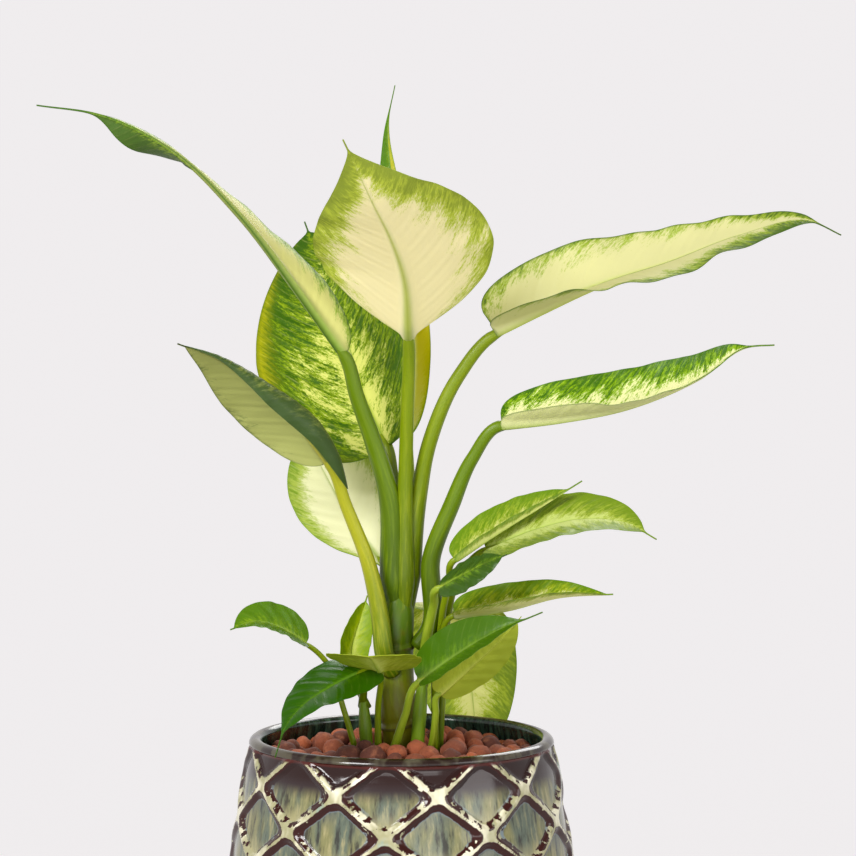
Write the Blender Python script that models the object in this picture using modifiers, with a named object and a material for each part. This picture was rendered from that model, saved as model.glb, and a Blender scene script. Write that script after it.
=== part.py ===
"""Potted dieffenbachia: a variegated houseplant in a glazed ceramic pot.

Origin on the pot's axis at the plane it stands on, +Z up, the best side facing -Y.
The pot holds potting mix under a layer of clay pebbles. A cane and two side shoots
stand in it, and every leaf is a petiole (its stalk) with a blade on the end.
"""
import bmesh
import bpy
import math
import numpy as np
from mathutils import Vector, noise

MM = 0.001
GAP = 0.3 * MM                 # clearance between pieces that rest against each other

# Pot, as (radius, height) in mm: outside from the lip down to the foot, inside from the floor up.
POT_OUTSIDE = ((76.7, 151), (79.2, 150.2), (80, 147.5), (80.8, 142), (83, 134), (86, 116), (88.4, 102),
               (90.4, 86), (91, 72), (89.6, 52), (85, 30), (77, 12), (70, 3), (66, 0))
POT_INSIDE = ((62, 9), (70, 14), (78, 32), (82.5, 54), (84, 74), (81, 102), (76, 134), (73.4, 147),
              (74.2, 150.2))
POT_SIDES = 60

MIX_TOP = 118 * MM
PEBBLE_TOP = 141 * MM
BED_RINGS = 9
BED_SIDES = 48
PEBBLE_SIZE = 9 * MM
STEM_ROOM = 0.8                # mm round a stem where it passes through the mix and the pebbles

BLADE_THICKNESS = 0.8 * MM
JOIN = 1.1                     # mm from a petiole's end to the blade that it carries
NECK = 4                       # mm of petiole that already points along the midrib
DRIP_BASE = 0.035              # half width of a blade's drip tip, as a share of the widest

# Upright stems: route in mm from the foot up, and the radius at each point in mm.
# The first two points of each lie below the pebbles, one above the other.
STEMS = {
    "cane": dict(
        route=((0, 0, 90), (0, 0, 141), (-2, -1, 170), (-3, -1, 200), (-2, 0, 225), (-1, 0, 247)),
        radius=(9.5, 9.5, 9.6, 9.3, 9.1, 8.8), facets=4),
    "shoot_left": dict(
        route=((-18, -8, 100), (-18, -8, 141), (-19, -8, 158), (-20, -8, 172)),
        radius=(3.2, 3.2, 3, 2.8), facets=2),
    "shoot_right": dict(
        route=((8, -13, 100), (8, -13, 141), (9.5, -13.5, 163), (11.5, -14.5, 185)),
        radius=(3.4, 3.4, 3.2, 2.9), facets=2),
}

# Leaves. Points are in mm.
#   stalk: the petiole's route from the stem, less its last point, which the blade's base gives
#   girth: the petiole's radius at its foot, half-way and at the blade
#   rib:   the midrib's route from the blade's base to its tip
#   half:  greatest half width on the left and right of the rib, seen from above the leaf
#   face:  which way the upper face looks, at stations from base to tip
#   fold:  degrees that each half rises from flat at the rib, at stations from base to tip
#   curl:  further degrees that each half turns between the rib and its margin
LEAVES = {
    "long_left": dict(
        stalk=((-6, -4, 248.5), (-7, -9, 281), (-15, -13, 308), (-23, -18, 331)), girth=(2.6, 3.6, 2.6),
        rib=((-30, -22, 354), (-53, -32, 386), (-82, -42, 424), (-119, -50, 459), (-151, -54, 474),
             (-183, -56, 479)),
        half=(23, 21), widest=0.42, drip=0.16,
        face=((0.44, 0.7, 0.55), (0.05, 1, 0.15), (-0.05, 1, 0.05), (-0.1, 0.9, -0.2)),
        fold=((35, 65, 75, 65, 40), (50, 78, 80, 25, 20)), curl=((50, 30, 20), (30, 20, 10))),
    "front_top": dict(
        stalk=((2, -5.5, 248.5), (2, -9.5, 281), (3, -18, 318)), girth=(2.5, 3.2, 2.8),
        rib=((4, -36, 362), (2, -62, 393), (-5, -84, 414), (-12, -100, 428), (-27, -126, 460)),
        half=(47, 46), widest=0.37, drip=0.05, blunt=0.75, lobe=-0.2,
        face=((0, 0.78, 0.62), (0.05, 0.75, 0.65), (0.1, 0.8, 0.5)),
        fold=(14, 14), curl=(10, 10)),
    "back_mottled": dict(
        stalk=((-4, 5, 248.5), (-3.5, 7, 275), (-5, 9, 289)), girth=(2.2, 2.2, 2),
        rib=((-8, 12, 303), (-19, 24, 326), (-31, 42, 363), (-42, 56, 392), (-53, 66, 421)),
        half=(50, 42), widest=0.42, drip=0.05,
        face=((-0.1, -1, 0.2), (-0.1, -1, 0.3), (-0.1, -0.9, 0.4)),
        fold=(8, 30), curl=(10, 20)),
    "left_rolled": dict(
        stalk=((-8, -14, 193), (-11, -14, 215), (-17, -14, 243), (-29, -17, 275)), girth=(3, 3.6, 2.8),
        rib=((-37, -22, 297), (-52, -30, 317), (-71, -42, 334), (-91, -58, 351), (-111, -76, 360)),
        half=(38, 22), widest=0.4, drip=0.04, lobe=0,
        face=((0.3, 0.75, 0.6), (0.2, 0.6, 0.75), (0.1, 0.6, 0.8)),
        fold=(40, 0), curl=(-150, -30)),
    "back_tall": dict(
        stalk=((2, 5.5, 248.5), (4, 9.5, 280)), girth=(2.3, 2.3, 2.2),
        rib=((3, 26, 308), (3, 40, 347), (0, 54, 390), (-7, 66, 443), (-8, 70, 474), (-4, 74, 495)),
        half=(17, 14), widest=0.3, drip=0.2, blunt=0.9,
        face=((0, -1, 0.2), (0, -1, 0.3), (0, -1, 0.2)),
        fold=(12, 12), curl=(15, 15)),
    "back_low": dict(
        stalk=((-9, 10.5, 214),), girth=(2.2, 2.2, 2),
        rib=((-9, 14, 239), (-27, 28, 262), (-41, 42, 285), (-56, 56, 313)),
        half=(24, 26), widest=0.56, drip=0.08, blunt=1.1, lobe=-0.3,
        face=((-0.1, -1, 0.3), (-0.1, -1, 0.3)),
        fold=(8, 8), curl=(10, 10)),
    "right_upper": dict(
        stalk=((5, 0, 248.5), (9.5, -4, 281), (15, -8, 307), (30, -11, 341)), girth=(2.5, 3.6, 2.6),
        rib=((50, -14, 364), (72, -18, 375), (103, -22, 389), (137, -26, 400), (174, -30, 414),
             (210, -34, 421), (225, -36, 414)),
        half=(26, 24), widest=0.31, drip=0.08, blunt=0.32, lobe=0.3,
        face=((-0.2, -0.45, 0.85), (-0.15, -0.5, 0.85), (-0.1, -0.45, 0.85)),
        fold=(8, (60, 15, 0, -5)), curl=(15, (20, 10, 5))),
    "right_middle": dict(
        stalk=((13.5, -2, 205), (16, -6, 247), (26, -9, 273), (37, -12, 298)), girth=(3.4, 4, 2.7),
        rib=((53, -16, 316), (82, -20, 319), (118, -26, 326), (152, -32, 340), (178, -36, 357),
             (191, -38, 358)),
        half=(24, 20), widest=0.36, drip=0.1, blunt=0.4, lobe=0.3,
        face=((-0.1, -0.45, 0.85), (-0.1, -0.45, 0.85)),
        fold=(15, 45), curl=(20, 30)),
    "right_lower": dict(
        stalk=((20, 6, 142.2), (22, 4, 180), (24, -4, 212), (30, -14, 236)), girth=(1.9, 1.9, 1.7),
        rib=((44, -24, 252), (70, -32, 263), (94, -42, 269), (117, -52, 267), (130, -56, 260)),
        half=(20, 23), widest=0.42, drip=0.08,
        face=((0, -0.5, 0.85), (0, -0.5, 0.85)),
        fold=(8, 8), curl=(10, 10)),
    "right_folded": dict(
        stalk=((17, 2, 142.2), (18, 1, 170), (20, -5, 200), (22, -12, 220), (25, -20, 235)),
        girth=(1.9, 1.9, 1.7),
        rib=((28, -28, 247), (51, -30, 262), (74, -32, 276), (93, -34, 288)),
        half=(17, 8), widest=0.36, drip=0.12, blunt=0.45,
        face=((0, -0.4, 0.9), (0, -0.4, 0.9)),
        fold=(10, 60), curl=(10, 20)),
    "right_crumpled": dict(
        stalk=((11.5, -15, 186.5), (13, -19, 203), (16, -29, 222)), girth=(2.2, 2, 1.7),
        rib=((20, -40, 234), (32, -46, 241), (45, -51, 248), (54, -53, 252)),
        half=(11, 12), widest=0.4, drip=0.06, small=True,
        face=((0, -0.2, 1), (0, -0.2, 1)),
        fold=(10, -20), curl=(30, -30)),
    "right_narrow": dict(
        stalk=((18, -4, 142.2), (17.5, -7, 170), (18, -13, 193), (21, -18, 208)), girth=(1.9, 1.8, 1.6),
        rib=((28, -22, 217), (55, -26, 221), (82, -32, 228), (109, -38, 230)),
        half=(15, 13), widest=0.31, drip=0.04, blunt=0.45,
        face=((0, -0.4, 0.9), (0, -0.4, 0.9)),
        fold=(20, 35), curl=(20, 20)),
    "front_dark": dict(
        stalk=((-5, -15, 142.2), (2, -24, 165)), girth=(2.4, 2, 1.7),
        rib=((10, -35, 185), (28, -43, 199), (48, -51, 212), (72, -57, 223)),
        half=(15, 13), widest=0.38, drip=0.16, small=True,
        face=((-0.2, -0.7, 0.6), (-0.2, -0.7, 0.6)),
        fold=(20, 20), curl=(20, 20)),
    "front_olive": dict(
        stalk=((15, -10, 142.2), (17, -17, 155), (18, -22, 166)), girth=(2, 1.8, 1.6),
        rib=((20, -25, 177), (36, -26, 191), (51, -30, 205), (62, -35, 218)),
        half=(14, 18), widest=0.4, drip=0.06, small=True,
        face=((0.3, 0.5, 0.8), (0.3, 0.5, 0.8)),
        fold=(0, 0), curl=(-10, -20)),
    "back_drooping": dict(
        stalk=((8, 13, 142.2), (11, 16, 175), (15, 21, 205)), girth=(2.2, 2, 1.8),
        rib=((21, 26, 214), (26, 50, 215), (32, 76, 201), (37, 92, 172), (40, 98, 144), (42, 99, 118)),
        half=(30, 27), widest=0.52, drip=0.06,
        face=((0, -0.2, 1), (0, 0.4, 0.9), (0, 0.9, 0.4), (0, 1, 0)),
        fold=(5, 5), curl=(-15, -15)),
    "left_small": dict(
        stalk=((-23, -14, 142.2), (-30, -16, 167), (-38, -19, 191)), girth=(1.7, 1.5, 1.4),
        rib=((-49, -26, 203), (-62, -34, 212), (-75, -41, 216), (-87, -48, 213)),
        half=(11, 13), widest=0.42, drip=0.05, small=True,
        face=((-0.1, -0.5, 0.8), (-0.1, -0.5, 0.8)),
        fold=(10, 25), curl=(10, 10)),
    "left_drooping": dict(
        stalk=((-20, -10, 173.2), (-19, -18, 183)), girth=(1.5, 1.5, 1.4),
        rib=((-18, -30, 190), (-36, -46, 183), (-50, -60, 175), (-59, -72, 164), (-63, -78, 152)),
        half=(19, 18), widest=0.29, drip=0.16, blunt=0.42,
        face=((-0.3, -0.6, 0.7), (-0.5, -0.6, 0.6)),
        fold=(10, 10), curl=(-10, -10)),
    "front_pale": dict(
        stalk=((-12, -17, 142.2), (-12, -21, 168)), girth=(2, 1.6, 1.4),
        rib=((-11, -34, 190), (-14, -48, 198), (-16, -62, 203)),
        half=(24, 25), widest=0.46, drip=0.05, small=True,
        face=((0, -0.1, 1), (0, -0.1, 1)),
        fold=(10, 10), curl=(0, 0)),
    "left_erect": dict(
        stalk=((-21, -5, 173.2),), girth=(1.5, 1.5, 1.4),
        rib=((-25, -2, 181), (-26, 1, 196), (-22, 4, 211), (-18, 8, 224)),
        half=(9, 10), widest=0.45, drip=0.08, small=True,
        face=((0.2, -1, 0.1), (0.2, -1, 0.2)),
        fold=(20, 20), curl=(30, 30)),
}


def clear_scene():
    for item in list(bpy.data.objects):
        bpy.data.objects.remove(item, do_unlink=True)


def new_collection(name, hidden=False):
    group = bpy.data.collections.new(name)
    bpy.context.scene.collection.children.link(group)
    group.hide_render = hidden
    return group


def material(name, colour, roughness):
    made = bpy.data.materials.get(name)
    if made:
        return made
    made = bpy.data.materials.new(name)
    made.use_nodes = True
    shader = made.node_tree.nodes["Principled BSDF"]
    shader.inputs["Base Color"].default_value = (*colour, 1)
    shader.inputs["Roughness"].default_value = roughness
    return made


def add_object(name, data, group, look, location=(0, 0, 0)):
    made = bpy.data.objects.new(name, data)
    group.objects.link(made)
    made.location = location
    made.parent = PLANT
    if look:
        data.materials.append(look)
    return made


def spline(points, share):
    """Points on a smooth curve through the given points, at shares 0 to 1 of its chord length."""
    points = np.asarray(points, float)
    steps = np.linalg.norm(np.diff(points, axis=0), axis=1)
    knots = np.concatenate(([0], np.cumsum(steps))) / steps.sum()
    slopes = np.gradient(points, knots, axis=0)
    span = np.clip(np.searchsorted(knots, share, side="right") - 1, 0, len(points) - 2)
    width = (knots[span + 1] - knots[span])[:, None]
    u = (share - knots[span])[:, None] / width
    return ((2 * u**3 - 3 * u**2 + 1) * points[span] + (u**3 - 2 * u**2 + u) * width * slopes[span]
            + (3 * u**2 - 2 * u**3) * points[span + 1] + (u**3 - u**2) * width * slopes[span + 1])


def unit(vectors):
    return vectors / np.linalg.norm(vectors, axis=-1, keepdims=True)


def along(values, share):
    """A number, or numbers at even stations from base to tip, read at each share of the length."""
    values = np.atleast_1d(values).astype(float)
    return np.interp(share, np.linspace(0, 1, len(values)), values)


def blade_width(share, widest=0.38, drip=0.1, blunt=0.55):
    """Half width from base to tip, as a share of the greatest: ovate, with a narrow drip tip."""
    u = np.clip(share / (1 - drip), 0, 1)
    taper = blunt * (1 - widest) / widest
    ovate = u**blunt * (1 - u)**taper / (widest**blunt * (1 - widest)**taper)
    return np.maximum(ovate, 0.1 * (share < 0.01)) + DRIP_BASE * (1 - 0.7 * share)


def blade_surface(leaf, share, across):
    """Mid-surface points in metres at shares of the length and at -1 (left) to 1 (right) across."""
    centre = spline(leaf["rib"], share)
    forward = unit(np.gradient(centre, axis=0))
    face = np.asarray(leaf["face"], float)
    up = np.stack([along(face[:, axis], share) for axis in range(3)], axis=1)
    up = unit(up - (up * forward).sum(axis=1, keepdims=True) * forward)
    right = np.cross(forward, up)
    width = blade_width(share, leaf["widest"], leaf["drip"], leaf.get("blunt", 0.55))
    near_base = np.clip(1 - share / 0.45, 0, 1)**2
    columns = []
    for place in across:
        side = int(place > 0)
        reach = leaf["half"][side] * width
        start = np.radians(along(leaf["fold"][side], share))
        turn = np.radians(along(leaf["curl"][side], share))
        turn = np.where(np.abs(turn) < 0.01, 0.01, turn)
        end = start + turn * abs(place)
        out = np.sign(place) * reach * (np.sin(end) - np.sin(start)) / turn
        rise = reach * (np.cos(start) - np.cos(end)) / turn
        back = leaf.get("lobe", 0.35) * reach * place**2 * near_base
        columns.append(centre + right * out[:, None] + up * rise[:, None] - forward * back[:, None])
    return np.stack(columns, axis=1) * MM


def thicken(made, thickness):
    shell = made.modifiers.new("Thickness", "SOLIDIFY")
    shell.thickness = thickness
    shell.offset = 0


def blade(name, leaf, group):
    """A leaf blade: a grid laid over the blade's surface and given its thickness."""
    rows, columns = (9, 5) if leaf.get("small") else (11, 7)
    share = np.linspace(0, 1, rows)
    across = np.linspace(-1, 1, columns)
    surface = blade_surface(leaf, share, across)
    base = Vector(surface[0, columns // 2])
    mesh = bpy.data.meshes.new(name)
    grid = bmesh.new()
    bmesh.ops.create_grid(grid, x_segments=columns - 1, y_segments=rows - 1, size=1)
    for vertex in grid.verts:
        column = round((vertex.co.x + 1) / 2 * (columns - 1))
        row = round((vertex.co.y + 1) / 2 * (rows - 1))
        vertex.co = Vector(surface[row, column]) - base
    for face in grid.faces:
        face.smooth = True
    grid.to_mesh(mesh)
    grid.free()
    made = add_object(name, mesh, group, material("leaf", (0.36, 0.55, 0.12), 0.42), base)
    thicken(made, BLADE_THICKNESS)


def tube(name, route, radii, look, group, facets=2):
    """A round stem along a route in metres."""
    curve = bpy.data.curves.new(name, "CURVE")
    curve.dimensions = "3D"
    curve.bevel_depth = 1
    curve.bevel_resolution = facets
    curve.use_fill_caps = True
    line = curve.splines.new("POLY")
    line.points.add(len(route) - 1)
    origin = Vector(route[0])
    for point, place, radius in zip(line.points, route, radii):
        point.co = (*(Vector(place) - origin), 1)
        point.radius = radius
    line.use_smooth = True
    return add_object(name, curve, group, look, origin)


def stem(name, parts, group):
    count = 2 * len(parts["route"])
    share = np.linspace(0, 1, count)
    route = spline(parts["route"], share) * MM
    radii = along(parts["radius"], share) * MM
    tube(name, route, radii, material("stem", (0.16, 0.2, 0.02), 0.4), group, parts["facets"])


def petiole(name, leaf, group):
    """The stalk from the stem to just short of the blade's base."""
    rib = np.asarray(leaf["rib"], float)
    forward = unit(rib[1] - rib[0])
    points = (*leaf["stalk"], rib[0] - forward * NECK, rib[0] - forward * JOIN)
    share = np.linspace(0, 1, 3 + 2 * len(leaf["stalk"]))
    route = spline(points, share) * MM
    radii = along(leaf["girth"], share) * MM
    tube(name, route, radii, material("petiole", (0.3, 0.4, 0.03), 0.42), group)


def turned(name, outline, sides, look, group):
    """A closed outline of (radius, height) points spun about the vertical axis."""
    mesh = bpy.data.meshes.new(name)
    points = [(radius, 0, height) for radius, height in outline]
    mesh.from_pydata(points, [(i, i + 1) for i in range(len(points) - 1)], [])
    made = add_object(name, mesh, group, look)
    spin = made.modifiers.new("Spin", "SCREW")
    spin.axis = "Z"
    spin.steps = spin.render_steps = sides
    spin.use_merge_vertices = True
    spin.merge_threshold = 0.0001
    spin.use_smooth_shade = True
    return made


def pot(group):
    """The wall, from the middle of the floor out over the lip and down to the foot."""
    inside = [(radius * MM, height * MM) for radius, height in POT_INSIDE]
    outside = [(radius * MM, height * MM) for radius, height in POT_OUTSIDE]
    outline = [(0, inside[0][1]), *inside, *outside, (0, 0)]
    turned("pot", outline, POT_SIDES, material("pot_glaze", (0.3, 0.3, 0.24), 0.12), group)


def wall_radius(height):
    """Inner radius of the pot at a height."""
    radii, heights = zip(*POT_INSIDE)
    return float(np.interp(height / MM, heights, radii)) * MM


def filling(name, low, high, look, group):
    """A plug that fills the pot from one height to another, clear of its wall."""
    levels = np.linspace(low, high, 6)
    outline = [(wall_radius(level) - 2 * GAP, level) for level in levels[::-1]]
    return turned(name, [(0, high), *outline, (0, low)], BED_SIDES, look, group)


def potting_mix(group):
    low = POT_INSIDE[0][1] * MM + GAP
    return filling("potting_mix", low, MIX_TOP, material("potting_mix", (0.05, 0.03, 0.02), 0.95), group)


def pebble_bed(group):
    """A lumpy layer of clay pebbles, level round the stems and against the wall."""
    low = MIX_TOP + GAP
    look = material("clay_pebbles", (0.42, 0.15, 0.08), 0.85)
    rings = np.linspace(1, 0, BED_RINGS, endpoint=False)
    edge = wall_radius(PEBBLE_TOP) - 2 * GAP
    outline = [(0, PEBBLE_TOP), *((edge * ring, PEBBLE_TOP) for ring in rings[::-1])]
    outline += [(wall_radius(low) - 2 * GAP, low), (0, low)]
    made = turned("pebble_bed", outline, BED_SIDES, look, group)
    mesh_from_modifiers(made)
    for vertex in made.data.vertices:
        away = math.hypot(vertex.co.x, vertex.co.y)
        if vertex.co.z > PEBBLE_TOP - GAP and 0.45 * edge < away < 0.95 * edge:
            vertex.co.z += abs(noise.noise(vertex.co / PEBBLE_SIZE)) * PEBBLE_SIZE * 0.5
    return made


def mesh_from_modifiers(made):
    """Replace an object's data with its evaluated mesh."""
    seen = made.evaluated_get(bpy.context.evaluated_depsgraph_get())
    mesh = bpy.data.meshes.new_from_object(seen)
    mesh.name = made.name
    made.modifiers.clear()
    made.data = mesh


def cut_stem_holes(filled, cutters):
    """Open a hole through a filling for each stem that is buried in it."""
    for name, parts in STEMS.items():
        foot = Vector(parts["route"][0]) * MM
        radius = (parts["radius"][0] + STEM_ROOM) * MM
        bottom = foot.z - 2 * GAP
        top = PEBBLE_TOP + 20 * MM
        bpy.ops.mesh.primitive_cylinder_add(vertices=24, radius=radius, depth=top - bottom,
                                            location=(foot.x, foot.y, (top + bottom) / 2))
        cutter = bpy.context.object
        cutter.name = f"{name}_hole_in_{filled.name}"
        cutter.display_type = "WIRE"
        cutter.hide_render = True
        for group in list(cutter.users_collection):
            group.objects.unlink(cutter)
        cutters.objects.link(cutter)
        cut = filled.modifiers.new("Stem hole", "BOOLEAN")
        cut.operation = "DIFFERENCE"
        cut.solver = "EXACT"
        cut.object = cutter


def build():
    parts = new_collection("potted_dieffenbachia")
    cutters = new_collection("cutters", hidden=True)
    parts.objects.link(PLANT)
    pot(parts)
    for filled in (potting_mix(parts), pebble_bed(parts)):
        cut_stem_holes(filled, cutters)
    for name, stem_parts in STEMS.items():
        stem(name, stem_parts, parts)
    for name, leaf in LEAVES.items():
        petiole(f"petiole_{name}", leaf, parts)
        blade(f"blade_{name}", leaf, parts)


clear_scene()
PLANT = bpy.data.objects.new("plant_root", None)
build()
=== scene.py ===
"""Potted dieffenbachia, the visual model.

Each piece takes the place of one CAD node and rides on the object's one body. Stems and
leaves repeat the CAD model's routes, in millimetres, and add their fine shape.
"""
import bpy
import bmesh
import math
import numpy as np
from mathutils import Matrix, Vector, noise


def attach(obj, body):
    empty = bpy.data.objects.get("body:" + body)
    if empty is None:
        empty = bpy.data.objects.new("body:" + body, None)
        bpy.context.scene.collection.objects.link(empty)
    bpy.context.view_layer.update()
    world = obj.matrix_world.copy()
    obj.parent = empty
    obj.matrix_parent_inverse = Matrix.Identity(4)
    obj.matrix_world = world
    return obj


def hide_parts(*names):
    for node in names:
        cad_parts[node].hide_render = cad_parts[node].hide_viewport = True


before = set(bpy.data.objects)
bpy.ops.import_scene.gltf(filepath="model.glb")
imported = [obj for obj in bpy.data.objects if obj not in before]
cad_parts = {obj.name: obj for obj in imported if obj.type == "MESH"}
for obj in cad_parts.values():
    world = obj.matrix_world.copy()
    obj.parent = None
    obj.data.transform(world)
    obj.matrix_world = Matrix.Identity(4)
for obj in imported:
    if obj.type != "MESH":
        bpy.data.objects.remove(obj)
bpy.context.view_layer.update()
SCENE = bpy.context.scene
MM = 0.001
NECK = 4                       # mm of petiole that already points along the midrib
DRIP_BASE = 0.035              # half width of a blade's drip tip, as a share of the widest
VEIN_GAP = 8                   # mm between side veins along the midrib

# Camera: place and aim in metres, lens in mm.
CAMERA_PLACE = (0.01395, -1.6778, 0.4171)
CAMERA_PITCH = 86.45
CAMERA_LENS = 135

# Pot: outer radius at each height, from the foot up to the lip, then the inside back down.
WALL_TOP = 147.5
POT_OUTSIDE = ((66, 0), (70, 3), (77, 12), (85, 30), (89.6, 52), (91, 72), (90.4, 86), (88.4, 102),
               (86, 116), (83, 134), (80.8, 142), (80, WALL_TOP))
POT_FLOOR = 9                  # mm, inside
POT_INSIDE = ((73.4, 147), (76, 134), (81, 102), (84, 74), (82.5, 54), (78, 32), (70, 14), (62, POT_FLOOR))
POT_SIDES = 500
LIP_ROWS = 13
LATTICE_CELLS = 10             # diamonds round the pot
LATTICE_TURN = -5              # degrees from the front to the middle of a diamond
LATTICE_WIDTH = 54             # mm from one diamond to the next beside it
LATTICE_PITCH = 40             # mm from one row of diamonds to the next in line above it
LATTICE_TOP = 131.5            # height of the middle of the top row of whole diamonds
RIB_RISE = 1.9                 # mm that the ribs stand out of the cells

PEBBLES = 580
PEBBLE_TOP = 143.5             # mm, at the wall
PEBBLE_HEAP = 9                # mm that they rise towards the stems
PEBBLE_FLOOR = 119
SETTLING_ROUNDS = 160

# Studio: strength of the sky and of the floor's own glow, then the soft lights, each with its
# name, place and size in metres, and power in watts.
SKY = 0.42
FLOOR_GLOW = 0.68
LIGHTS = (("key", (-1.3, -1.8, 1.4), (0.9, 0.9), 62), ("fill", (1.8, -1.2, 0.8), (1.2, 1.2), 16),
          ("low", (0.2, -1.9, 0.05), (1.6, 0.7), 13), ("back", (0.6, 1.7, 1.6), (1.6, 1.2), 34))
LIGHT_AIM = Vector((0, 0, 0.28))
LEAF_SHINE = 0.25              # specular level of leaves and stalks

# Upright stems: route in mm from the foot up, and the radius at each point in mm.
# The first two points of each lie below the pebbles, one above the other.
STEMS = {
    "cane": dict(
        route=((0, 0, 90), (0, 0, 141), (-2, -1, 170), (-3, -1, 200), (-2, 0, 225), (-1, 0, 247)),
        radius=(9.5, 9.5, 9.6, 9.3, 9.1, 8.8)),
    "shoot_left": dict(
        route=((-18, -8, 100), (-18, -8, 141), (-19, -8, 158), (-20, -8, 172)),
        radius=(3.2, 3.2, 3, 2.8)),
    "shoot_right": dict(
        route=((8, -13, 100), (8, -13, 141), (9.5, -13.5, 163), (11.5, -14.5, 185)),
        radius=(3.4, 3.4, 3.2, 2.9)),
}
CANE_TOP = 230                 # mm; petioles that start higher than this stand on the cane's top
CROWN = 248.5                  # mm, where they leave it
BED = 142.2                    # mm, where petioles leave the pebbles
# Leaf scars round the cane: height in mm, how far it tilts in mm, and which way in radians.
CANE_RINGS = ((157, 1.5, 0.4), (196, 1.6, 1.2))

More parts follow.
